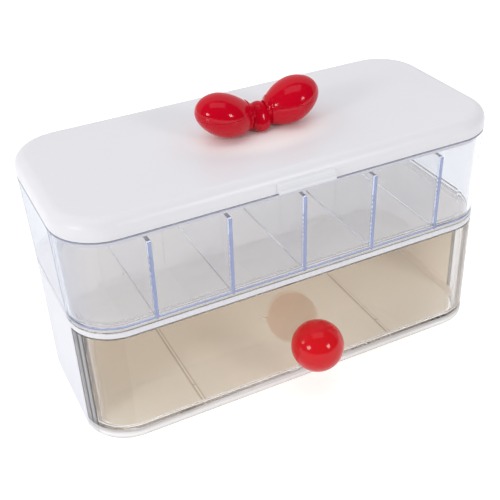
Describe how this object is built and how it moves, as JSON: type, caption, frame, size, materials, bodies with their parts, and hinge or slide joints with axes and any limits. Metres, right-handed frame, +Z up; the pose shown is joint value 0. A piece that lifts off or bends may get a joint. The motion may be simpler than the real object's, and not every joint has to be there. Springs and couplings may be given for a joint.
{
  "type": "hair accessory organizer",
  "caption": "Two-level box for hair accessories: clear divided tray under a hinged white lid with a red bow, on a white case with a clear pull-out drawer and a red ball knob.",
  "frame": {"origin": "centre of the case's flat bottom face", "axes": "+X along the length to the right, +Y towards the hinges, +Z up; the drawer opens towards -Y"},
  "size_m": [0.22, 0.1258, 0.1427],
  "materials": {
    "white_abs": "injection-moulded white ABS, satin gloss",
    "clear_polystyrene": "injection-moulded clear polystyrene with a faint blue tint in its edges",
    "red_abs": "injection-moulded red ABS, high gloss",
    "zinc_steel": "zinc-plated steel"
  },
  "bodies": {
    "case": {"case": "white_abs"},
    "drawer": {"drawer": "clear_polystyrene", "knob_ball": "red_abs", "knob_screw": "zinc_steel"},
    "tray": {"tray": "clear_polystyrene", "hinge_pin_left": "zinc_steel", "hinge_pin_right": "zinc_steel"},
    "lid": {"lid": "white_abs", "bow_upper_shell": "red_abs", "bow_lower_shell": "red_abs", "bow_screws": "zinc_steel"}
  },
  "joints": [
    {"name": "drawer_slide", "type": "slide", "parent": "case", "child": "drawer", "axis": [0, -1, 0], "range_m": [0, 0.075]},
    {"name": "tray_lift", "type": "slide", "parent": "case", "child": "tray", "axis": [0, 0, 1], "range_m": [0, 0.06]},
    {"name": "lid_hinge", "type": "hinge", "parent": "tray", "child": "lid", "pos_m": [0, 0.05115, 0.1115], "axis": [-1, 0, 0], "range_deg": [0, 105]}
  ]
}
